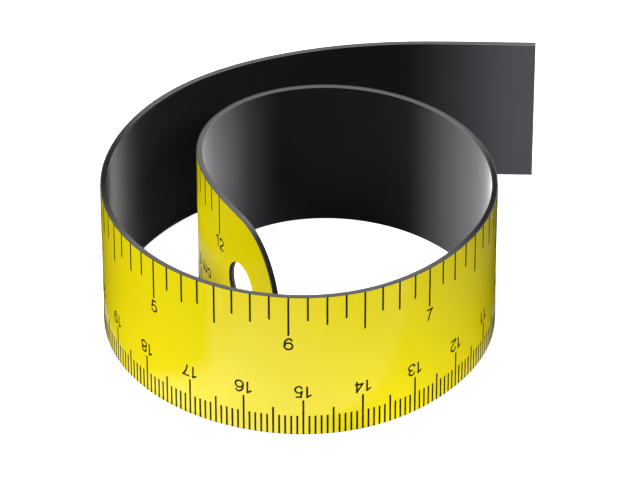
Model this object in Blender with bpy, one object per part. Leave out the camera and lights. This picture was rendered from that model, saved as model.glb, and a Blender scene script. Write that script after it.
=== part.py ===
"""Flexible magnetic ruler, standing on its edge in a loose coil.

Three bonded layers share one outline: a magnetic rubber core, a film of adhesive and
a printed vinyl face. The outline has a square end at the scale's zero and a round end
with a hang hole. Each layer is cut flat and then rolled to the coil. The graduations
stand proud of the vinyl by the thickness of the ink.

Flat coordinates: x runs along the strip from the square end, y runs from the printed
face into the strip, and z is the height above the edge that the strip stands on.
"""
import math

import bmesh
import bpy
import numpy as np

MM = 0.001

# Outline of the strip: the scale's twelve inches and a tail with the hang hole
SCALE_LENGTH = 304.8 * MM
STRIP_WIDTH = 27.0 * MM
HANG_TAIL_LENGTH = 21.2 * MM
HANG_HOLE_RADIUS = 4.3 * MM

# Layers, from the printed face inwards
FACE_FILM_THICKNESS = 0.13 * MM
ADHESIVE_THICKNESS = 0.05 * MM
MAGNET_THICKNESS = 0.80 * MM
BOND_GAP = 0.01 * MM

# Graduations: an inch scale hangs from the upper edge, and a metric scale stands on
# the lower edge and counts back from the inch scale's far end
METRIC_STEP = 1.0 * MM
MARK_WIDTH = 0.25 * MM
INK_THICKNESS = 0.03 * MM
INCH_DIVISIONS = 12 * 8

# Length of each mark as a share of the strip's width, by the count of smallest
# divisions that it closes, the widest first
INCH_MARK_SHARES = {8: 0.275, 4: 0.265, 2: 0.20, 1: 0.167}
METRIC_MARK_SHARES = {10: 0.253, 5: 0.193, 1: 0.138}

# Coil: at each share of the strip's length, the turns that the whole strip would make
# if it kept the bend that it has there. The first stretch is straight, the bend
# tightens towards the middle of the coil, and the round end springs out again.
BEND_SHARES = (
    (0.00, 0.00),
    (0.03, 0.00),
    (0.08, 0.69),
    (0.14, 0.80),
    (0.20, 1.33),
    (0.26, 1.10),
    (0.32, 1.42),
    (0.38, 1.41),
    (0.44, 1.55),
    (0.50, 1.88),
    (0.56, 1.25),
    (0.62, 1.53),
    (0.68, 1.60),
    (0.74, 1.77),
    (0.80, 2.21),
    (0.85, 2.70),
    (0.90, 1.96),
    (0.95, 0.12),
    (1.00, -0.90),
)
STRAIGHT_SHARE = 0.03

# Facets: the strip folds every few millimetres, midway between metric marks
FOLD_STEP = 2.0 * MM
STEPS_PER_FOLD = 8
ARC_STEPS = 12

# Two points of a cut nearer than this are one point
CUT_TOLERANCE = 0.002 * MM

STRIP_LENGTH = SCALE_LENGTH + HANG_TAIL_LENGTH
END_RADIUS = STRIP_WIDTH / 2
END_CENTRE = STRIP_LENGTH - END_RADIUS
ADHESIVE_DEPTH = FACE_FILM_THICKNESS + BOND_GAP
MAGNET_DEPTH = ADHESIVE_DEPTH + ADHESIVE_THICKNESS + BOND_GAP
STRIP_THICKNESS = MAGNET_DEPTH + MAGNET_THICKNESS

VINYL_COLOUR = (0.80, 0.69, 0.02, 1.0)
ADHESIVE_COLOUR = (0.62, 0.60, 0.52, 1.0)
MAGNET_COLOUR = (0.028, 0.028, 0.031, 1.0)


def clear_scene():
    """Removes what the scene holds before the ruler is made."""
    for thing in list(bpy.data.objects):
        bpy.data.objects.remove(thing, do_unlink=True)


def make_material(name, colour, roughness):
    """A Principled material with one colour and roughness."""
    material = bpy.data.materials.new(name)
    material.use_nodes = True
    shader = material.node_tree.nodes["Principled BSDF"]
    shader.inputs["Base Color"].default_value = colour
    shader.inputs["Roughness"].default_value = roughness
    shader.inputs["Metallic"].default_value = 0.0
    material.diffuse_color = colour
    return material


def fold_places():
    """Where the strip folds from one flat facet to the next, measured along it."""
    first_mark = SCALE_LENGTH - METRIC_STEP / 2
    folds_back = int((first_mark - STRAIGHT_SHARE * STRIP_LENGTH) / FOLD_STEP)
    folds_on = int((STRIP_LENGTH - first_mark) / FOLD_STEP)
    return first_mark + FOLD_STEP * np.arange(-folds_back, folds_on + 1)


def coil_path():
    """The printed face's plan at each fold: the places, the points and the normals.

    The bend is summed in short steps along the strip. The square end runs along -X,
    and the strip turns anticlockwise with its magnetic side inwards.
    """
    folds = np.concatenate(([0.0], fold_places(), [STRIP_LENGTH]))
    even_steps = np.linspace(0.0, STRIP_LENGTH, len(folds) * STEPS_PER_FOLD)
    steps = np.unique(np.concatenate((even_steps, folds)))
    stations, turns = np.array(BEND_SHARES).T
    bend = np.interp(steps / STRIP_LENGTH, stations, turns) * 2 * math.pi / STRIP_LENGTH
    run = np.diff(steps)
    heading = math.pi + np.concatenate(([0.0], np.cumsum(run * (bend[1:] + bend[:-1]) / 2)))
    middle = (heading[1:] + heading[:-1]) / 2
    east = np.concatenate(([0.0], np.cumsum(run * np.cos(middle))))
    north = np.concatenate(([0.0], np.cumsum(run * np.sin(middle))))
    at_folds = np.searchsorted(steps, folds)
    points = np.stack((east, north), axis=1)[at_folds]
    normals = np.stack((-np.sin(heading), np.cos(heading)), axis=1)[at_folds]
    return folds, points, normals


def centred(path):
    """The path moved so that the coil's box is centred on the origin."""
    folds, points, normals = path
    both_faces = np.concatenate((points, points + STRIP_THICKNESS * normals))
    centre = (both_faces.min(axis=0) + both_faces.max(axis=0)) / 2
    return folds, points - centre, normals


def roll(bm, path):
    """Moves a flat layer's points on to the coil. Each facet stays flat."""
    folds, points, normals = path
    for vert in bm.verts:
        place, depth, height = vert.co
        east, north = (
            np.interp(place, folds, points[:, axis] + depth * normals[:, axis])
            for axis in (0, 1)
        )
        vert.co = (east, north, height)


def half_outline(side):
    """Half of the strip's outline, from its middle line to its lower or upper edge."""
    middle = STRIP_WIDTH / 2
    outline = [(0.0, middle), (0.0, middle + side * middle)]
    for step in range(ARC_STEPS + 1):
        angle = math.pi / 2 * (1 - step / ARC_STEPS)
        outline.append((
            END_CENTRE + END_RADIUS * math.cos(angle),
            middle + side * END_RADIUS * math.sin(angle),
        ))
    for step in range(2 * ARC_STEPS + 1):
        angle = math.pi / 2 * step / ARC_STEPS
        outline.append((
            END_CENTRE + HANG_HOLE_RADIUS * math.cos(angle),
            middle + side * HANG_HOLE_RADIUS * math.sin(angle),
        ))
    return outline


def flat_blank(depth, thickness):
    """A flat layer with the strip's outline and its hang hole, cut at every fold."""
    bm = bmesh.new()
    for side in (-1, 1):
        corners = [bm.verts.new((place, depth, height)) for place, height in half_outline(side)]
        bm.faces.new(corners)
    bmesh.ops.remove_doubles(bm, verts=bm.verts[:], dist=CUT_TOLERANCE)
    swept = bmesh.ops.extrude_face_region(bm, geom=bm.faces[:])["geom"]
    swept_verts = [item for item in swept if isinstance(item, bmesh.types.BMVert)]
    bmesh.ops.translate(bm, verts=swept_verts, vec=(0.0, thickness, 0.0))
    bmesh.ops.recalc_face_normals(bm, faces=bm.faces[:])
    geom = bm.verts[:] + bm.edges[:] + bm.faces[:]
    for place in fold_places():
        geom = cut_across(bm, geom, place)
    return bm


def cut(bm, geom, point, normal):
    """Cuts some of a mesh with a plane and returns all of it, new parts included."""
    return bmesh.ops.bisect_plane(
        bm, geom=geom, dist=CUT_TOLERANCE, plane_co=point, plane_no=normal)["geom"]


def cut_across(bm, geom, place):
    """A cut square to the strip's length."""
    return cut(bm, geom, (place, 0.0, 0.0), (1.0, 0.0, 0.0))


def cut_along(bm, geom, height):
    """A cut along the strip at one height."""
    return cut(bm, geom, (0.0, 0.0, height), (0.0, 0.0, 1.0))


def printed_faces(bm):
    """The flat faces that look out of the printed side."""
    return [face for face in bm.faces if face.normal.y < -0.5]


def with_corners(faces):
    """Faces together with their edges and points."""
    edges = {edge for face in faces for edge in face.edges}
    verts = {vert for face in faces for vert in face.verts}
    return list(verts) + list(edges) + list(faces)


def mark_length(division, shares):
    """The length of the mark that closes this many of the smallest divisions."""
    for divisions, share in shares.items():
        if division % divisions == 0:
            return share * STRIP_WIDTH


def inch_marks():
    """Place and length of each eighth-inch mark. The square end is the zero mark."""
    step = SCALE_LENGTH / INCH_DIVISIONS
    return [
        (division * step, mark_length(division, INCH_MARK_SHARES))
        for division in range(1, INCH_DIVISIONS + 1)
    ]


def metric_marks():
    """Place and length of each millimetre mark, which count back from the last inch."""
    room = SCALE_LENGTH - MARK_WIDTH
    return [
        (SCALE_LENGTH - division * METRIC_STEP, mark_length(division, METRIC_MARK_SHARES))
        for division in range(int(room / METRIC_STEP) + 1)
    ]


def outline_marks(bm, marks, edge, inward):
    """Cuts one scale's marks into the printed side and returns their faces.

    edge is the height of the edge that the marks start from, and inward is 1 for
    marks that rise from it or -1 for marks that hang from it.
    """
    lengths = sorted({length for _, length in marks})
    for length in lengths:
        cut_along(bm, with_corners(printed_faces(bm)), edge + inward * length)
    row_start = 0.0
    for length in lengths:
        row = [
            face for face in printed_faces(bm)
            if row_start < inward * (face.calc_center_median().z - edge) < length
        ]
        geom = with_corners(row)
        for place, reach in marks:
            if reach >= length:
                geom = cut_across(bm, geom, place - MARK_WIDTH / 2)
                geom = cut_across(bm, geom, place + MARK_WIDTH / 2)
        row_start = length
    places, reaches = np.array(marks).T
    inked = []
    for face in printed_faces(bm):
        centre = face.calc_center_median()
        nearest = np.abs(places - centre.x).argmin()
        beside = abs(places[nearest] - centre.x)
        away = inward * (centre.z - edge)
        if beside < MARK_WIDTH / 2 and away < reaches[nearest]:
            inked.append(face)
    return inked


def raise_ink(bm):
    """Raises the marks of both scales from the printed side."""
    inked = outline_marks(bm, metric_marks(), 0.0, 1)
    inked += outline_marks(bm, inch_marks(), STRIP_WIDTH, -1)
    raised = bmesh.ops.extrude_face_region(bm, geom=with_corners(inked))["geom"]
    raised_verts = [item for item in raised if isinstance(item, bmesh.types.BMVert)]
    bmesh.ops.translate(bm, verts=raised_verts, vec=(0.0, -INK_THICKNESS, 0.0))


def finish_layer(bm, name, material, path):
    """Rolls a layer to the coil and makes it an object."""
    roll(bm, path)
    mesh = bpy.data.meshes.new(name)
    bm.to_mesh(mesh)
    bm.free()
    mesh.materials.append(material)
    mesh.shade_smooth()
    mesh.set_sharp_from_angle(angle=math.radians(30))
    layer = bpy.data.objects.new(name, mesh)
    bpy.context.collection.objects.link(layer)
    return layer


def make_face_film(path):
    """The vinyl face with its raised graduations."""
    bm = flat_blank(0.0, FACE_FILM_THICKNESS)
    raise_ink(bm)
    finish_layer(bm, "face_film", make_material("printed_vinyl", VINYL_COLOUR, 0.3), path)


def make_adhesive_film(path):
    """The film of adhesive that bonds the face to the core."""
    bm = flat_blank(ADHESIVE_DEPTH, ADHESIVE_THICKNESS)
    finish_layer(bm, "adhesive_film", make_material("adhesive", ADHESIVE_COLOUR, 0.4), path)


def make_magnet_strip(path):
    """The magnetic rubber core, which is also the bare inner side."""
    bm = flat_blank(MAGNET_DEPTH, MAGNET_THICKNESS)
    finish_layer(bm, "magnet_strip", make_material("magnetic_rubber", MAGNET_COLOUR, 0.55), path)


def main():
    clear_scene()
    path = centred(coil_path())
    make_magnet_strip(path)
    make_adhesive_film(path)
    make_face_film(path)


main()
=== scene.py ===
"""Looks of a flexible magnetic ruler that stands on its edge in a loose coil.

Every piece is modelled flat and then bent along one guide to the coil. Flat coordinates:
x runs along the strip from the square end, y runs from the printed face into the strip,
and z is the height above the edge that the strip stands on. Each point keeps its flat
place in an attribute, which the finishes read. On the stage, east is +x and north is +y,
away from the camera.
"""
import math

import bpy
import numpy as np
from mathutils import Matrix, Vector


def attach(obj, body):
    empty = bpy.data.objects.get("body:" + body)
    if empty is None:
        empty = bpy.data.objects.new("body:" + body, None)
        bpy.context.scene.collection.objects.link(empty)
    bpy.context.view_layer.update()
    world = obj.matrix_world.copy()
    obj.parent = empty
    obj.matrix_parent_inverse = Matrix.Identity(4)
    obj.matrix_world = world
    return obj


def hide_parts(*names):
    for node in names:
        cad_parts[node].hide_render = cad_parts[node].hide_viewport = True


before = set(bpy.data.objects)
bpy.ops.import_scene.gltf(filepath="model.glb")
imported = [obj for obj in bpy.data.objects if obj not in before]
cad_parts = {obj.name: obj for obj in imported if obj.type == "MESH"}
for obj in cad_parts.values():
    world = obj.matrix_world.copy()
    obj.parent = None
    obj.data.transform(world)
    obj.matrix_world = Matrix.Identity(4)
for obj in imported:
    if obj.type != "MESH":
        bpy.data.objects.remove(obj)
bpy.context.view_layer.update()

MM = 0.001

# Outline of the strip: the scale's twelve inches and a tail with the hang hole
SCALE_LENGTH = 304.8 * MM
STRIP_WIDTH = 27.0 * MM
HANG_TAIL_LENGTH = 21.2 * MM
HANG_HOLE_RADIUS = 4.3 * MM
STRIP_LENGTH = SCALE_LENGTH + HANG_TAIL_LENGTH
END_RADIUS = STRIP_WIDTH / 2
END_CENTRE = STRIP_LENGTH - END_RADIUS
MIDDLE = STRIP_WIDTH / 2

# Layers, from the printed face inwards
FACE_FILM_THICKNESS = 0.13 * MM
ADHESIVE_THICKNESS = 0.05 * MM
MAGNET_THICKNESS = 0.80 * MM
BOND_GAP = 0.01 * MM
ADHESIVE_DEPTH = FACE_FILM_THICKNESS + BOND_GAP
MAGNET_DEPTH = ADHESIVE_DEPTH + ADHESIVE_THICKNESS + BOND_GAP
STRIP_THICKNESS = MAGNET_DEPTH + MAGNET_THICKNESS

# Worn corners of the layers' cut edges
MAGNET_EDGE_ROUND = 0.05 * MM
FACE_EDGE_ROUND = 0.03 * MM
EDGE_ROUND_SEGMENTS = 3
CREASE_ANGLE = math.radians(50)

# Coil: at each share of the strip's length, the turns that the whole strip would make
# if it kept the bend that it has there
BEND_SHARES = (
    (0.00, 0.00),
    (0.03, 0.00),
    (0.08, 0.69),
    (0.14, 0.80),
    (0.20, 1.33),
    (0.26, 1.10),
    (0.32, 1.42),
    (0.38, 1.41),
    (0.44, 1.55),
    (0.50, 1.88),
    (0.56, 1.25),
    (0.62, 1.53),
    (0.68, 1.60),
    (0.74, 1.77),
    (0.80, 2.21),
    (0.85, 2.70),
    (0.90, 1.96),
    (0.95, 0.12),
    (1.00, -0.90),
)
GUIDE_STEP = 0.5 * MM
SCORE_STEP = 1.0 * MM
HOLE_SIDES = 96
END_SIDES = 48
MERGE_DISTANCE = 0.002 * MM
FLAT_FACE_SHARE = 0.99

# Graduations
MARK_WIDTH = 0.33 * MM
INK_PROUD = 0.03 * MM
INK_ROUND = 0.02 * MM
INK_ROUND_SEGMENTS = 2
INCHES = 12
INCH = SCALE_LENGTH / INCHES
CENTIMETRES = 30
CENTIMETRE = 10 * MM
INCH_MARK_SHARE = 0.275
HALF_INCH_MARK_SHARE = 0.265
QUARTER_INCH_MARK_SHARE = 0.20
EIGHTH_INCH_MARK_SHARE = 0.167
CENTIMETRE_MARK_SHARE = 0.253
HALF_CENTIMETRE_MARK_SHARE = 0.193
MILLIMETRE_MARK_SHARE = 0.138
MILLIMETRE_MARKS_IN_HALF = 4

# Figures: a light pen, drawn about a skeleton that stands one skeleton height tall
FIGURE_HEIGHT = 2.42 * MM
FIGURE_PEN = 0.335 * MM
FIGURE_GAP = 0.42 * MM
FIGURE_CLEARANCE = 0.47 * MM
FIGURE_CURVE_STEPS = 8
FIGURE_PEN_STEPS = 2
UNIT_MARK_PLACE = 298.6 * MM
CORNER = "corner"

# Places along the strip where the magnet's cut edge is painted dark as painted shade: from the
# tail on, round the hang hole and about two stretches on the coil's sides. Each stretch has its
# middle, the half length that is fully dark and how far the darkening reaches
TAIL_SHADE_START = SCALE_LENGTH + 9.0 * MM
TAIL_SHADE_FULL = SCALE_LENGTH + 14.0 * MM
EDGE_SHADE_PLACES = (
    (96.5 * MM, 3.0 * MM, 27.0 * MM),
    (202.0 * MM, 5.0 * MM, 28.0 * MM),
)
HOLE_SHADE_REACH = 0.4 * MM
VINYL_CUT_REACH = (0.02 * MM, 0.06 * MM)

# Colours. A pair runs from its darker to its lighter tone
RUBBER = ((0.0112, 0.0118, 0.0158, 1.0), (0.0172, 0.0180, 0.0235, 1.0))
CHALKED_CUT = ((0.084, 0.081, 0.082, 1.0), (0.127, 0.122, 0.124, 1.0))
# Painted shade: the dark tone put on the cut edge at the tail, the hole and two stretches
PAINTED_SHADE_CUT = ((0.005, 0.005, 0.006, 1.0), (0.009, 0.009, 0.010, 1.0))
ADHESIVE = ((0.050, 0.047, 0.042, 1.0), (0.085, 0.080, 0.070, 1.0))
VINYL = ((0.83, 0.695, 0.0, 1.0), (0.86, 0.725, 0.0, 1.0))
# Painted shade: dark grey on the vinyl's thin cut edge instead of its yellow
VINYL_CUT_SHADE = (0.036, 0.033, 0.029, 1.0)
INK = ((0.006, 0.0045, 0.001, 1.0), (0.012, 0.009, 0.002, 1.0))
TABLE_CARD = ((0.88, 0.88, 0.88, 1.0), (0.92, 0.92, 0.92, 1.0))
WHITE = (1.0, 1.0, 1.0, 1.0)
BLACK = (0.0, 0.0, 0.0, 1.0)

# Stage
FLOOR_SIZE = 6.0
FLOOR_HEIGHT = -0.02 * MM
GLOSS_CARD_SIZE = 0.5
GLOSS_CARD_HEIGHT = 0.02 * MM
GLOSS_CARD_STRENGTH = 2.15

# Straight sides on the gloss card, in mm: a point on each and the way that it faces
PATCH_LEFT_SIDE = ((-33.0, -46.0), (0.591, -0.807))
PATCH_BACK_SIDE = ((0.0, -43.8), (0.0, -1.0))
COIL_LEFT_WALL = ((-25.6, -31.4), (-0.633, -0.774))

# Circles that the coil's bows nearly stand on, in mm: centre and radius
LEFT_BOW = ((0.0, -5.0), 36.8)
RIGHT_BOW = ((-5.5, -5.5), 35.6)

# Soft boxes that face the ruler: place and power
BOX_SIZE = 0.3
TOP_BOX_SIZE = 0.12
TOP_BOX = ("top_box", (-0.08, 0.08, 0.9), 8.2)
PRINT_BOXES = (
    ("key_box", (-0.050, -0.576, 0.689), 8.3),
    ("left_box", (-0.659, 0.116, 0.602), 6.3),
    ("fill_box", (0.470, -0.337, 0.689), 0.6),
    ("back_box", (-0.1, 0.75, 0.6), 6.7),
    ("side_box", (0.37, 0.64, 0.58), 2.0),
)
CORE_BOXES = (
    ("core_box_left", (-0.53, -0.45, 0.58), 2.0),
    ("core_box_right", (0.53, -0.45, 0.58), 2.0),
)

# Glow that the printed face gets from the floor: plan place, size and power
GLOW_HEIGHT = 0.03 * MM
FLOOR_GLOWS = (
    ("floor_glow", (0.0, -0.055), (0.2, 0.08), 0.038),
    ("right_glow", (0.040, -0.032), (0.06, 0.06), 0.0088),
    ("left_glow", (-0.045, -0.030), (0.06, 0.06), 0.0020),
)
END_GLOW_PLACE = (-32.0 * MM, 3.0 * MM, 13.0 * MM)
END_GLOW_TARGET = (-20.0 * MM, -1.0 * MM, 13.0 * MM)
END_GLOW_SIZE = (2.0 * MM, 12.0 * MM)
END_GLOW_POWER = 0.0013

# Narrow upright lamps that give the magnet its grey gradients: plan place in mm, heading
# in degrees, height in mm, power and spread in degrees
STRIP_LAMP_WIDTH = 2.0 * MM
STRIP_LAMP_COLOUR = (1.0, 0.965, 0.91)
STRIP_LAMPS = (
    ("right_strip", (-14.0, 6.0), 5.0, 60.0, 0.0083, 44.0),
    ("right_wash", (-14.0, 6.0), 24.0, 60.0, 0.00008, 24.0),
    ("left_strip", (22.0, 0.0), 198.1, 33.0, 0.0584, 96.2),
    ("left_wash", (22.0, 0.0), 172.1, 33.0, 0.0072, 60.3),
    ("gap_strip", (-28.0, -9.0), 120.5, 60.0, 0.0031, 51.7),
    ("gap_wash", (-28.0, -9.0), 84.2, 60.0, 0.0007, 73.0),
    ("tail_strip", (92.0, 4.0), 148.0, 60.0, 0.0098, 15.5),
)

# Camera
CAMERA_PLACE = (0.020036, -0.656436, 0.439659)
CAMERA_PITCH = math.radians(33.104)
CAMERA_YAW = math.radians(1.748)
CAMERA_LENS = 258.136
CAMERA_SENSOR = 36.0


def pick(thing):
    """Leaves one object selected and active."""
    bpy.ops.object.select_all(action="DESELECT")
    thing.select_set(True)
    bpy.context.view_layer.objects.active = thing


def apply_place(thing):
    """Puts the object's place into its mesh."""
    pick(thing)
    bpy.ops.object.transform_apply(location=True, rotation=True, scale=True)


def apply_modifier(thing, kind, **settings):
    """Adds a modifier, sets it and applies it."""
    modifier = thing.modifiers.new(kind.lower(), kind)
    for name, value in settings.items():
        setattr(modifier, name, value)
    pick(thing)
    bpy.ops.object.modifier_apply(modifier=modifier.name)


def join(things, name):
    """Joins objects into the first of them."""
    pick(things[0])
    for thing in things[1:]:
        thing.select_set(True)
    bpy.ops.object.join()
    things[0].name = name
    return things[0]


def coil_path():
    """The printed face's plan along the strip: the points of the guide."""
    steps = np.linspace(0.0, STRIP_LENGTH, round(STRIP_LENGTH / GUIDE_STEP) + 1)
    stations, turns = np.array(BEND_SHARES).T
    turning = np.interp(steps / STRIP_LENGTH, stations, turns) * 2 * math.pi / STRIP_LENGTH
    run = np.diff(steps)
    turned = np.cumsum(run * (turning[1:] + turning[:-1]) / 2)
    heading = math.pi + np.concatenate(([0.0], turned))
    middle = (heading[1:] + heading[:-1]) / 2
    east = np.concatenate(([0.0], np.cumsum(run * np.cos(middle))))
    north = np.concatenate(([0.0], np.cumsum(run * np.sin(middle))))
    points = np.stack((east, north), axis=1)
    inner = points + STRIP_THICKNESS * np.stack((-np.sin(heading), np.cos(heading)), axis=1)
    both_faces = np.concatenate((points, inner))
    return points - (both_faces.min(axis=0) + both_faces.max(axis=0)) / 2


def make_guide():
    """The curve that the flat pieces are bent along."""
    curve = bpy.data.curves.new("coil_guide", "CURVE")
    curve.dimensions = "3D"
    points = coil_path()
    spline = curve.splines.new("POLY")
    spline.points.add(len(points) - 1)
    for knot, (east, north) in zip(spline.points, points):
        knot.co = (east, north, 0.0, 1.0)
    guide = bpy.data.objects.new("coil_guide", curve)
    bpy.context.collection.objects.link(guide)
    return guide


def keep_flat_place(thing):
    """Writes each point's flat place to the attribute that the finishes read."""
    places = np.empty(3 * len(thing.data.vertices), dtype=np.float32)
    thing.data.vertices.foreach_get("co", places)
    kept = thing.data.attributes.new("flat_place", "FLOAT_VECTOR", "POINT")
    kept.data.foreach_set("vector", places)


def bend(thing, guide):
    """Bends a flat piece along the guide."""
    keep_flat_place(thing)
    apply_modifier(thing, "CURVE", object=guide, deform_axis="POS_X")


def score(thing):
    """Cuts a flat layer across, once for each facet of the bend."""
    pick(thing)
    bpy.ops.object.mode_set(mode="EDIT")
    for place in np.arange(SCORE_STEP, STRIP_LENGTH - SCORE_STEP / 2, SCORE_STEP):
        bpy.ops.mesh.select_all(action="SELECT")
        bpy.ops.mesh.bisect(plane_co=(place, 0.0, 0.0), plane_no=(1.0, 0.0, 0.0))
    bpy.ops.object.mode_set(mode="OBJECT")


def round_far_end(thing):
    """Rounds the two far corners of a flat layer until they meet."""
    pick(thing)
    bpy.ops.object.mode_set(mode="EDIT")
    bpy.ops.mesh.select_all(action="DESELECT")
    bpy.ops.mesh.select_mode(type="EDGE")
    bpy.ops.object.mode_set(mode="OBJECT")
    verts = thing.data.vertices
    for edge in thing.data.edges:
        ends = [verts[index].co for index in edge.vertices]
        at_end = min(end.x for end in ends) > END_CENTRE
        level = abs(ends[0].z - ends[1].z) < MM
        edge.select = at_end and level
    bpy.ops.object.mode_set(mode="EDIT")
    bpy.ops.mesh.bevel(offset=END_RADIUS, segments=END_SIDES, affect="EDGES", clamp_overlap=True)
    bpy.ops.mesh.select_all(action="SELECT")
    bpy.ops.mesh.remove_doubles(threshold=MERGE_DISTANCE)
    bpy.ops.object.mode_set(mode="OBJECT")


def punch_hang_hole(thing):
    """Cuts the hang hole through a flat layer."""
    bpy.ops.mesh.primitive_cylinder_add(
        vertices=HOLE_SIDES, radius=HANG_HOLE_RADIUS, depth=STRIP_WIDTH,
        location=(END_CENTRE, 0.0, MIDDLE), rotation=(math.pi / 2, 0.0, 0.0))
    punch = bpy.context.object
    apply_modifier(thing, "BOOLEAN", object=punch, operation="DIFFERENCE", solver="EXACT")
    bpy.data.objects.remove(punch)


def mark_cut_faces(thing):
    """Gives the faces that a blade made the piece's second material."""
    for face in thing.data.polygons:
        face.material_index = int(abs(face.normal.y) < FLAT_FACE_SHARE)


def make_layer(name, depth, thickness, edge_round, guide, shows_cuts=False):
    """One layer of the strip, cut flat, scored and bent."""
    bpy.ops.object.select_all(action="DESELECT")
    bpy.ops.mesh.primitive_cube_add(
        size=1.0, location=(STRIP_LENGTH / 2, depth + thickness / 2, MIDDLE),
        scale=(STRIP_LENGTH, thickness, STRIP_WIDTH))
    layer = bpy.context.object
    layer.name = layer.data.name = name
    apply_place(layer)
    round_far_end(layer)
    punch_hang_hole(layer)
    if edge_round:
        apply_modifier(
            layer, "BEVEL", width=edge_round, segments=EDGE_ROUND_SEGMENTS,
            limit_method="ANGLE", angle_limit=CREASE_ANGLE)
    score(layer)
    if shows_cuts:
        mark_cut_faces(layer)
    bend(layer, guide)
    return layer


def mark_row(length, edge, inward, start, step, count, groups=1, group_step=0.0):
    """Equal marks that start from one edge: a row of them, or rows at a wider step."""
    bpy.ops.object.select_all(action="DESELECT")
    bpy.ops.mesh.primitive_cube_add(
        size=1.0, location=(start, 0.0, edge + inward * length / 2),
        scale=(MARK_WIDTH, 2 * INK_PROUD, length))
    row = bpy.context.object
    apply_place(row)
    apply_modifier(row, "BEVEL", width=INK_ROUND, segments=INK_ROUND_SEGMENTS)
    for copies, offset in ((count, step), (groups, group_step)):
        apply_modifier(
            row, "ARRAY", count=copies, use_relative_offset=False,
            use_constant_offset=True, constant_offset_displace=(offset, 0.0, 0.0))
    return row


def make_inch_marks(guide):
    """Marks at each eighth of an inch, hung from the upper edge."""
    rows = [
        mark_row(share * STRIP_WIDTH, STRIP_WIDTH, -1, start * INCH, step * INCH, count)
        for share, start, step, count in (
            (INCH_MARK_SHARE, 1, 1, INCHES),
            (HALF_INCH_MARK_SHARE, 1 / 2, 1, INCHES),
            (QUARTER_INCH_MARK_SHARE, 1 / 4, 1 / 2, 2 * INCHES),
            (EIGHTH_INCH_MARK_SHARE, 1 / 8, 1 / 4, 4 * INCHES),
        )
    ]
    marks = join(rows, "inch_marks")
    bend(marks, guide)
    return marks


def make_metric_marks(guide):
    """Marks at each millimetre, stood on the lower edge and counted back from 12 in."""
    millimetre = CENTIMETRE / 10
    marks = join([
        mark_row(
            CENTIMETRE_MARK_SHARE * STRIP_WIDTH, 0.0, 1,
            SCALE_LENGTH, -CENTIMETRE, CENTIMETRES + 1),
        mark_row(
            HALF_CENTIMETRE_MARK_SHARE * STRIP_WIDTH, 0.0, 1,
            SCALE_LENGTH - CENTIMETRE / 2, -CENTIMETRE, CENTIMETRES),
        mark_row(
            MILLIMETRE_MARK_SHARE * STRIP_WIDTH, 0.0, 1,
            SCALE_LENGTH - millimetre, -millimetre, MILLIMETRE_MARKS_IN_HALF,
            2 * CENTIMETRES + 1, -CENTIMETRE / 2),
    ], "metric_marks")
    bend(marks, guide)
    return marks


def ring(middle, centre, half_width, half_height):
    """A closed pen stroke: an upright ellipse."""
    return True, (
        (middle, centre - half_height), (middle + half_width, centre),
        (middle, centre + half_height), (middle - half_width, centre))


def line(*points):
    """An open pen stroke, smooth but for the points marked as corners."""
    return False, points


# Width and pen strokes of each figure, in shares of the skeleton's height
FIGURE_SHARES = {
    "0": (0.64, [ring(0.32, 0.50, 0.32, 0.50)]),
    "1": (0.34, [line((0.0, 0.80), (0.34, 1.0, CORNER), (0.34, 0.0))]),
    "2": (0.62, [line(
        (0.01, 0.70), (0.09, 0.92), (0.32, 1.0), (0.60, 0.74), (0.44, 0.45), (0.12, 0.20),
        (0.0, 0.0, CORNER), (0.62, 0.0))]),
    "3": (0.60, [
        line((0.03, 0.76), (0.10, 0.93), (0.29, 1.0), (0.55, 0.77), (0.40, 0.56), (0.22, 0.53)),
        line((0.22, 0.53), (0.44, 0.50), (0.60, 0.27), (0.30, 0.0), (0.07, 0.08), (0.0, 0.27))]),
    "4": (0.66, [line((0.49, 0.0), (0.49, 1.0, CORNER), (0.0, 0.29, CORNER), (0.66, 0.29))]),
    "5": (0.58, [line(
        (0.53, 1.0), (0.13, 1.0, CORNER), (0.05, 0.49, CORNER), (0.28, 0.62), (0.58, 0.32),
        (0.28, 0.0), (0.0, 0.22))]),
    "6": (0.64, [
        ring(0.32, 0.31, 0.32, 0.31),
        line((0.60, 0.78), (0.52, 0.94), (0.34, 1.0), (0.08, 0.78), (0.0, 0.31))]),
    "7": (0.60, [line((0.0, 1.0), (0.60, 1.0, CORNER), (0.34, 0.56), (0.19, 0.0))]),
    "8": (0.62, [ring(0.31, 0.765, 0.25, 0.235), ring(0.31, 0.265, 0.31, 0.265)]),
    "c": (0.58, [line(
        (0.57, 0.53), (0.48, 0.67), (0.29, 0.73), (0.0, 0.365), (0.29, 0.0), (0.48, 0.06),
        (0.58, 0.22))]),
    "m": (1.0, [
        line((0.0, 0.0), (0.0, 0.73)),
        line((0.0, 0.47), (0.27, 0.73), (0.50, 0.52), (0.50, 0.0)),
        line((0.50, 0.47), (0.77, 0.73), (1.0, 0.52), (1.0, 0.0))]),
}


def pen_runs(points, over):
    """A stroke's runs from corner to corner, each drawn a little past its corners."""
    run, runs = [], []
    for point in points:
        place = np.array(point[:2])
        run.append(place)
        if CORNER in point:
            runs.append(run)
            run = [place]
    runs.append(run)
    for before, after in zip(runs, runs[1:]):
        arriving, leaving = before[-1] - before[-2], after[1] - after[0]
        before[-1] = before[-1] + over * arriving / np.linalg.norm(arriving)
        after[0] = after[0] - over * leaving / np.linalg.norm(leaving)
    return runs


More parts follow.
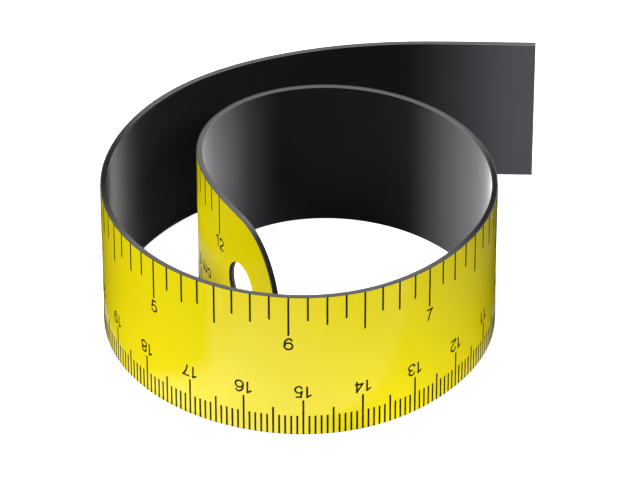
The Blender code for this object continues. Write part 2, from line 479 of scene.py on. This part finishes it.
def draw_figure(symbol):
    """One figure drawn with a round pen that is pressed flat. Returns it and its width."""
    skeleton = FIGURE_HEIGHT - FIGURE_PEN
    width, strokes = FIGURE_SHARES[symbol]
    curve = bpy.data.curves.new("figure", "CURVE")
    curve.dimensions = "3D"
    curve.resolution_u = FIGURE_CURVE_STEPS
    curve.bevel_depth = FIGURE_PEN / 2
    curve.bevel_resolution = FIGURE_PEN_STEPS
    curve.use_fill_caps = True
    for closed, points in strokes:
        runs = [points] if closed else pen_runs(points, FIGURE_PEN / 2 / skeleton)
        for run in runs:
            spline = curve.splines.new("BEZIER")
            spline.use_cyclic_u = closed
            spline.bezier_points.add(len(run) - 1)
            for knot, (along, up) in zip(spline.bezier_points, run):
                knot.co = (
                    FIGURE_PEN / 2 + skeleton * along, FIGURE_PEN / 2 + skeleton * up, 0.0)
                knot.handle_left_type = knot.handle_right_type = "AUTO"
    figure = bpy.data.objects.new("figure", curve)
    bpy.context.collection.objects.link(figure)
    pick(figure)
    bpy.ops.object.convert(target="MESH")
    figure = bpy.context.object
    figure.scale.z = INK_PROUD / (FIGURE_PEN / 2)
    figure.rotation_euler.x = math.pi / 2
    apply_place(figure)
    return figure, FIGURE_PEN + skeleton * width


def write(text, centre, foot, turned, masters):
    """A word centred on a place along the strip, upright or turned on its head."""
    widths = [masters[symbol][1] for symbol in text]
    start = -(sum(widths) + FIGURE_GAP * (len(text) - 1)) / 2
    letters = []
    for symbol, width in zip(text, widths):
        pick(masters[symbol][0])
        bpy.ops.object.duplicate()
        letter = bpy.context.object
        if turned:
            letter.rotation_euler.y = math.pi
            letter.location = (centre - start, 0.0, foot + FIGURE_HEIGHT)
        else:
            letter.location = (centre + start, 0.0, foot)
        apply_place(letter)
        letters.append(letter)
        start += width + FIGURE_GAP
    return letters


def draw_masters():
    """Each figure drawn once. A nine is a six turned on its head."""
    masters = {symbol: draw_figure(symbol) for symbol in FIGURE_SHARES}
    six, width = masters["6"]
    pick(six)
    bpy.ops.object.duplicate()
    nine = bpy.context.object
    nine.rotation_euler.y = math.pi
    nine.location = (width, 0.0, FIGURE_HEIGHT)
    apply_place(nine)
    masters["9"] = nine, width
    return masters


def make_figures(guide):
    """The inch numbers, the metric numbers and the metric scale's unit."""
    masters = draw_masters()
    inch_foot = STRIP_WIDTH * (1 - INCH_MARK_SHARE) - FIGURE_CLEARANCE - FIGURE_HEIGHT
    metric_foot = STRIP_WIDTH * CENTIMETRE_MARK_SHARE + FIGURE_CLEARANCE
    inch_letters, metric_letters = [], []
    for inch in range(1, INCHES + 1):
        inch_letters += write(str(inch), inch * INCH, inch_foot, False, masters)
    for centimetre in range(1, CENTIMETRES + 1):
        place = SCALE_LENGTH - centimetre * CENTIMETRE
        metric_letters += write(str(centimetre), place, metric_foot, True, masters)
    unit_letters = write("cm", UNIT_MARK_PLACE, metric_foot, True, masters)
    figures = [
        join(inch_letters, "inch_numbers"),
        join(metric_letters, "metric_numbers"),
        join(unit_letters, "unit_mark"),
    ]
    for master, _ in masters.values():
        bpy.data.objects.remove(master)
    for piece in figures:
        bend(piece, guide)
    return figures


class Value:
    """A shader socket that Python's operators work on, one Math node for each."""

    def __init__(self, nodes, links, socket):
        self.nodes = nodes
        self.links = links
        self.socket = socket

    def math(self, operation, first, second=0.0):
        node = self.nodes.new("ShaderNodeMath")
        node.operation = operation
        for socket, value in zip(node.inputs, (first, second)):
            if isinstance(value, Value):
                self.links.new(value.socket, socket)
            else:
                socket.default_value = value
        return Value(self.nodes, self.links, node.outputs[0])

    def __add__(self, other):
        return self.math("ADD", self, other)

    def __radd__(self, other):
        return self.math("ADD", other, self)

    def __sub__(self, other):
        return self.math("SUBTRACT", self, other)

    def __rsub__(self, other):
        return self.math("SUBTRACT", other, self)

    def __mul__(self, other):
        return self.math("MULTIPLY", self, other)

    def __rmul__(self, other):
        return self.math("MULTIPLY", other, self)

    def __truediv__(self, other):
        return self.math("DIVIDE", self, other)

    def __pow__(self, other):
        return self.math("POWER", self, other)

    def at_least(self, other):
        return self.math("MAXIMUM", self, other)

    def at_most(self, other):
        return self.math("MINIMUM", self, other)

    def size(self):
        return self.math("ABSOLUTE", self)


class Finish:
    """A material that is built node by node round its Principled shader."""

    def __init__(self, name, **constants):
        self.material = bpy.data.materials.new(name)
        self.material.use_nodes = True
        self.nodes = self.material.node_tree.nodes
        self.links = self.material.node_tree.links
        self.shader = self.nodes["Principled BSDF"]
        for socket, value in constants.items():
            self.shader.inputs[socket.replace("_", " ")].default_value = value

    def node(self, kind, sockets, settings=None, output=0):
        """Adds any node: its settings first, then the values or links of its sockets.

        Returns one output, or all of them where none is named.
        """
        node = self.nodes.new(kind)
        for name, value in (settings or {}).items():
            setattr(node, name, value)
        for name, value in sockets.items():
            if isinstance(value, Value):
                self.links.new(value.socket, node.inputs[name])
            else:
                node.inputs[name].default_value = value
        if output is None:
            return [Value(self.nodes, self.links, socket) for socket in node.outputs]
        return Value(self.nodes, self.links, node.outputs[output])

    def feed(self, **values):
        """Links values to the shader's own sockets."""
        for name, value in values.items():
            self.links.new(value.socket, self.shader.inputs[name.replace("_", " ")])

    def flat_place(self):
        """Places on the flat strip: along it, into it and above its lower edge."""
        place = self.node("ShaderNodeAttribute", {}, {"attribute_name": "flat_place"}, "Vector")
        return place, *self.split(place)

    def split(self, place):
        """A place's three coordinates."""
        return self.node("ShaderNodeSeparateXYZ", {0: place}, None, None)

    def noise(self, place, grain, detail, stretch=(1.0, 1.0, 1.0)):
        """Noise from 0 to 1 whose grain is a size in metres, longer where it is stretched."""
        scaled = self.node(
            "ShaderNodeVectorMath", {0: place, 1: tuple(1 / share for share in stretch)},
            {"operation": "MULTIPLY"})
        return self.node(
            "ShaderNodeTexNoise",
            {"Vector": scaled, "Scale": 1 / grain, "Detail": detail, "Roughness": 0.6})

    def ease(self, value, low, high):
        """Rises smoothly from 0 to 1 between two values."""
        return self.node(
            "ShaderNodeMapRange",
            {"Value": value, "From Min": low, "From Max": high, "To Min": 0.0, "To Max": 1.0},
            {"interpolation_type": "SMOOTHSTEP"})

    def blend(self, factor, first, second):
        """One colour over another."""
        return self.node(
            "ShaderNodeMix", {0: factor, 6: first, 7: second}, {"data_type": "RGBA"}, 2)

    def bump(self, height, distance):
        """A bump of the height's 0 to 1, which stands for a real distance."""
        return self.node(
            "ShaderNodeBump", {"Height": height, "Distance": distance, "Strength": 1.0})

    def bell(self, value, middle, flat, reach):
        """Is 1 around a middle value and falls smoothly to 0 at its reach to either side."""
        return 1.0 - self.ease((value - middle).size(), flat, reach)

    def edge_distances(self, along, above):
        """Distances to the strip's outline and to the hang hole's edge."""
        off_middle = above - MIDDLE
        past_centre = along - END_CENTRE
        round_past = past_centre.at_least(0.0)
        outline = END_RADIUS - (round_past ** 2.0 + off_middle ** 2.0) ** 0.5
        hole = (past_centre ** 2.0 + off_middle ** 2.0) ** 0.5 - HANG_HOLE_RADIUS
        return outline.at_most(along), hole


def rubber_finish():
    """Magnetic rubber: near black and satin, with the dusty sheen of its powder."""
    finish = Finish(
        "magnetic_rubber", Specular_IOR_Level=0.25, Sheen_Weight=0.9, Sheen_Roughness=0.34,
        Sheen_Tint=(1.0, 0.975, 0.97, 1.0))
    place, _, _, _ = finish.flat_place()
    powder = finish.noise(place, grain=0.25 * MM, detail=4.0)
    rolled = finish.noise(place, grain=0.6 * MM, detail=3.0, stretch=(30.0, 1.0, 1.0))
    clouds = finish.noise(place, grain=14.0 * MM, detail=3.0)
    finish.feed(
        Base_Color=finish.blend(powder * 0.5 + clouds * 0.5, *RUBBER),
        Roughness=0.50 + 0.10 * rolled + 0.08 * clouds,
        Normal=finish.bump(powder * 0.4 + rolled * 0.6, distance=0.010 * MM))
    return finish.material


def cut_rubber_finish():
    """The magnet's cut edges: chalky where the strip was slit, with painted shade at the round
    tail, in the hang hole and about two stretches on the coil's sides.
    """
    finish = Finish("cut_rubber", Specular_IOR_Level=0.22)
    place, along, _, above = finish.flat_place()
    outline, hole = finish.edge_distances(along, above)
    # Painted shade: the cut edge is darker at the round tail, in the hang hole and about two
    # stretches
    punched = finish.ease(along, TAIL_SHADE_START, TAIL_SHADE_FULL)
    hole_shade = 1.0 - finish.ease(hole - outline, -HOLE_SHADE_REACH, 0.0)
    first, second = (finish.bell(along, *shade_place) for shade_place in EDGE_SHADE_PLACES)
    chalk_outside_shade = (1.0 - punched) * (1.0 - hole_shade) * (1.0 - first.at_least(second))
    shorn = finish.noise(place, grain=0.12 * MM, detail=3.0, stretch=(1.0, 12.0, 1.0))
    crumbs = finish.noise(place, grain=0.5 * MM, detail=4.0, stretch=(4.0, 1.0, 1.0))
    painted_shade = finish.blend(shorn, *PAINTED_SHADE_CUT)
    chalked = finish.blend(shorn, *CHALKED_CUT)
    finish.feed(
        Base_Color=finish.blend(chalk_outside_shade * (0.9 + 0.2 * crumbs), painted_shade, chalked),
        Roughness=0.62 + 0.16 * shorn,
        Normal=finish.bump(shorn * 0.7 + crumbs * 0.3, distance=0.015 * MM))
    return finish.material


def adhesive_finish():
    """Clear adhesive that has picked up rubber dust at its cut edges."""
    finish = Finish("adhesive", Specular_IOR_Level=0.4)
    place, _, _, _ = finish.flat_place()
    haze = finish.noise(place, grain=0.8 * MM, detail=3.0)
    finish.feed(Base_Color=finish.blend(haze, *ADHESIVE), Roughness=0.45 + 0.2 * haze)
    return finish.material


def vinyl_finish():
    """Yellow vinyl with a gloss that ripples a little, and painted shade on its thin cut edge.
    """
    finish = Finish("printed_vinyl", Specular_IOR_Level=0.5)
    place, along, _, above = finish.flat_place()
    outline, hole = finish.edge_distances(along, above)
    cut = 1.0 - finish.ease(outline.at_most(hole), *VINYL_CUT_REACH)
    tone = finish.noise(place, grain=9.0 * MM, detail=3.0)
    peel = finish.noise(place, grain=0.7 * MM, detail=2.0, stretch=(1.6, 1.0, 1.0))
    speck = finish.noise(place, grain=0.08 * MM, detail=2.0)
    finish.feed(
        # The cut edge gets painted shade in its colour, and a rougher gloss
        Base_Color=finish.blend(cut, finish.blend(tone, *VINYL), VINYL_CUT_SHADE),
        Roughness=0.11 + 0.04 * tone + 0.04 * speck + 0.8 * cut,
        Normal=finish.bump(peel + 0.15 * speck, distance=0.004 * MM))
    return finish.material


def ink_finish():
    """Screen ink, near black with the yellow just showing through."""
    finish = Finish("printing_ink", Specular_IOR_Level=0.08)
    place, _, _, _ = finish.flat_place()
    cover = finish.noise(place, grain=0.12 * MM, detail=3.0)
    finish.feed(
        Base_Color=finish.blend(cover, *INK),
        Roughness=0.32 + 0.15 * cover,
        Normal=finish.bump(cover, distance=0.004 * MM))
    return finish.material


def floor_finish():
    """White table card that glows, so that it stays an even white."""
    finish = Finish(
        "table_card", Specular_IOR_Level=0.1, Emission_Color=WHITE, Emission_Strength=1.0)
    place = finish.node("ShaderNodeTexCoord", {}, None, "Object")
    tooth = finish.noise(place, grain=1.5 * MM, detail=3.0)
    finish.feed(Base_Color=finish.blend(tooth, *TABLE_CARD), Roughness=0.75 + 0.1 * tooth)
    return finish.material


def past_line(east, north, side):
    """How far a place on the floor is past a straight side, the way that it faces."""
    (through_east, through_north), (facing_east, facing_north) = side
    return (east - through_east) * facing_east + (north - through_north) * facing_north


def off_circle(east, north, circle):
    """How far a place on the floor is outside a circle."""
    (centre_east, centre_north), radius = circle
    return ((east - centre_east) ** 2.0 + (north - centre_north) ** 2.0) ** 0.5 - radius


def gloss_card_finish():
    """A glow in the shape of the pale reflections on the yellow. Places are in mm."""
    finish = Finish(
        "gloss_card", Base_Color=BLACK, Specular_IOR_Level=0.0,
        Emission_Strength=GLOSS_CARD_STRENGTH)
    place = finish.node("ShaderNodeTexCoord", {}, None, "Object")
    in_mm = finish.node(
        "ShaderNodeVectorMath", {0: place, 1: (1 / MM, 1 / MM, 1 / MM)},
        {"operation": "MULTIPLY"})
    east, north, _ = finish.split(in_mm)
    ease = finish.ease

    # The bright patch before the coil, with its foot against the left wall
    left_side = ease(past_line(east, north, PATCH_LEFT_SIDE), -1.5, 4.5)
    back_side = ease(past_line(east, north, PATCH_BACK_SIDE), -1.0, 3.5)
    foot = ease(east, -35.0, -28.5) * ease(past_line(east, north, COIL_LEFT_WALL), 0.0, 1.0)
    west = 1.0 - ease(east, -5.0, 8.0)
    patch = left_side.at_least(0.85 * foot) * back_side.at_least(west)
    to_the_right = 1.0 - 0.78 * ease(east, -10.0, 34.0)
    to_the_left = 0.50 + 0.50 * ease(east, -36.0, -24.0)
    to_the_front = ((north + 95.0) / 48.0).at_least(0.0).at_most(1.0)
    patch = patch * to_the_right * to_the_left * to_the_front

    # Belts that hug the coil's bows, and a faint patch inside the left one
    off_left = off_circle(east, north, LEFT_BOW)
    off_right = off_circle(east, north, RIGHT_BOW)
    left_belt = ease(off_left, 0.0, 0.3) * (1.0 - ease(off_left, 1.4, 3.2)) * (
        1.0 - ease(east, -28.0, -24.0))
    right_belt = ease(off_right, 0.0, 0.3) * (1.0 - ease(off_right, 0.8, 2.2)) * (
        ease(east, 22.0, 27.0))
    belts = 0.18 * left_belt + 0.20 * right_belt
    inside = (1.0 - ease(off_left, -1.5, -1.0)) * (1.0 - ease(east, -6.0, -1.0)) * (
        0.030 + 0.065 * ease(north, -2.0, 10.0))
    rest = 0.008 + 0.042 * ease(east, 37.0, 50.0)

    bright = patch.at_least(belts).at_least(inside) + rest
    finish.feed(Emission_Color=finish.node(
        "ShaderNodeCombineColor", {"Red": bright, "Green": bright, "Blue": bright}))
    return finish.material


def smooth(thing):
    """Shades a piece smooth, and keeps broad faces true beside narrow ones."""
    pick(thing)
    bpy.ops.object.shade_smooth_by_angle(angle=CREASE_ANGLE)
    apply_modifier(thing, "WEIGHTED_NORMAL", keep_sharp=True)


def dress(thing, slot, *materials):
    """Gives a finished piece its shading, its materials and its place in the frame."""
    smooth(thing)
    for material in materials:
        thing.data.materials.append(material)
    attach(thing, "root")


def make_ruler():
    """All pieces of the ruler: the magnet first, then what is on it."""
    guide = make_guide()
    core = make_layer(
        "magnet_core", MAGNET_DEPTH, MAGNET_THICKNESS, MAGNET_EDGE_ROUND, guide,
        shows_cuts=True)
    bond = make_layer("adhesive_bond", ADHESIVE_DEPTH, ADHESIVE_THICKNESS, 0.0, guide)
    face = make_layer("vinyl_face", 0.0, FACE_FILM_THICKNESS, FACE_EDGE_ROUND, guide)
    # The yellow doesn't tint the magnet or itself, as its lamps are set for it alone
    face.visible_diffuse = face.visible_glossy = False
    inked = [make_inch_marks(guide), make_metric_marks(guide), *make_figures(guide)]
    bpy.data.objects.remove(guide)
    dress(core, "magnetic_rubber", rubber_finish(), cut_rubber_finish())
    dress(bond, "adhesive", adhesive_finish())
    dress(face, "printed_vinyl", vinyl_finish())
    ink = ink_finish()
    for piece in inked:
        dress(piece, "printing_ink", ink)
    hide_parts("magnet_strip")
    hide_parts("adhesive_film")
    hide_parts("face_film")
    return core, [face, *inked]


def make_stage_sheet(name, size, height, material):
    """A level sheet under the ruler that throws neither soft light nor shadow on it."""
    bpy.ops.object.select_all(action="DESELECT")
    bpy.ops.mesh.primitive_plane_add(size=size, location=(0.0, 0.0, height))
    sheet = bpy.context.object
    sheet.name = name
    apply_place(sheet)
    sheet.data.materials.append(material)
    sheet.visible_diffuse = sheet.visible_shadow = False
    return sheet


def make_floor():
    """A plain white card under the ruler, which only the camera sees."""
    floor = make_stage_sheet("floor", FLOOR_SIZE, FLOOR_HEIGHT, floor_finish())
    floor.visible_glossy = False


def make_gloss_card():
    """A bright card about the ruler's foot, which shows only in what is glossy."""
    card = make_stage_sheet(
        "gloss_card", GLOSS_CARD_SIZE, GLOSS_CARD_HEIGHT, gloss_card_finish())
    card.visible_camera = card.visible_transmission = card.visible_volume_scatter = False


def add_light(name, place, target, size, power, pieces=(), glossy=True):
    """A soft box that faces a target. It isn't seen, and may light some pieces only."""
    lamp = bpy.data.lights.new(name, "AREA")
    lamp.shape = "RECTANGLE"
    lamp.size, lamp.size_y = size
    lamp.energy = power
    box = bpy.data.objects.new(name, lamp)
    bpy.context.collection.objects.link(box)
    box.location = place
    away = Vector(place) - Vector(target)
    box.rotation_euler = away.to_track_quat("Z", "Y").to_euler()
    box.visible_camera = False
    box.visible_glossy = glossy
    if pieces:
        lit = bpy.data.collections.new(name + "_lights")
        for piece in pieces:
            lit.objects.link(piece)
        box.light_linking.receiver_collection = lit
    return lamp


def add_box(name, place, power, pieces=(), size=BOX_SIZE):
    """A square soft box that faces the ruler."""
    add_light(name, place, (0.0, 0.0, 0.0), (size, size), power, pieces)


def add_strip_lamp(name, plan_place, heading, height, power, spread, piece):
    """A narrow upright lamp at the strip's own height that lights one piece."""
    east, north = plan_place
    turn = math.radians(heading)
    place = Vector((east * MM, north * MM, MIDDLE))
    ahead = place + Vector((math.cos(turn), math.sin(turn), 0.0))
    lamp = add_light(name, place, ahead, (STRIP_LAMP_WIDTH, height * MM), power, [piece])
    lamp.spread = math.radians(spread)
    lamp.color = STRIP_LAMP_COLOUR


def make_world():
    """A white room that only the camera sees."""
    world = bpy.data.worlds.new("studio")
    world.use_nodes = True
    background = world.node_tree.nodes["Background"]
    background.inputs["Color"].default_value = WHITE
    background.inputs["Strength"].default_value = 1.0
    world.cycles_visibility.diffuse = world.cycles_visibility.glossy = False
    bpy.context.scene.world = world


def make_lights(core, printed):
    """Soft boxes round the ruler, glow from the floor, and narrow lamps in the coil."""
    add_box(*TOP_BOX, size=TOP_BOX_SIZE)
    for box in PRINT_BOXES:
        add_box(*box, printed)
    for name, (east, north), size, power in FLOOR_GLOWS:
        add_light(
            name, (east, north, GLOW_HEIGHT), (east, north, 1.0), size, power, printed,
            glossy=False)
    add_light(
        "end_glow", END_GLOW_PLACE, END_GLOW_TARGET, END_GLOW_SIZE, END_GLOW_POWER, printed,
        glossy=False)
    for box in CORE_BOXES:
        add_box(*box, [core])
    for strip_lamp in STRIP_LAMPS:
        add_strip_lamp(*strip_lamp, core)


def make_camera():
    """The photograph's view."""
    lens = bpy.data.cameras.new("camera")
    lens.lens = CAMERA_LENS
    lens.sensor_width = CAMERA_SENSOR
    camera = bpy.data.objects.new("camera", lens)
    bpy.context.collection.objects.link(camera)
    camera.location = CAMERA_PLACE
    camera.rotation_euler = (math.pi / 2 - CAMERA_PITCH, 0.0, CAMERA_YAW)
    bpy.context.scene.camera = camera
    bpy.context.scene.view_settings.view_transform = "Standard"


core, printed = make_ruler()
make_floor()
make_gloss_card()
make_world()
make_lights(core, printed)
make_camera()
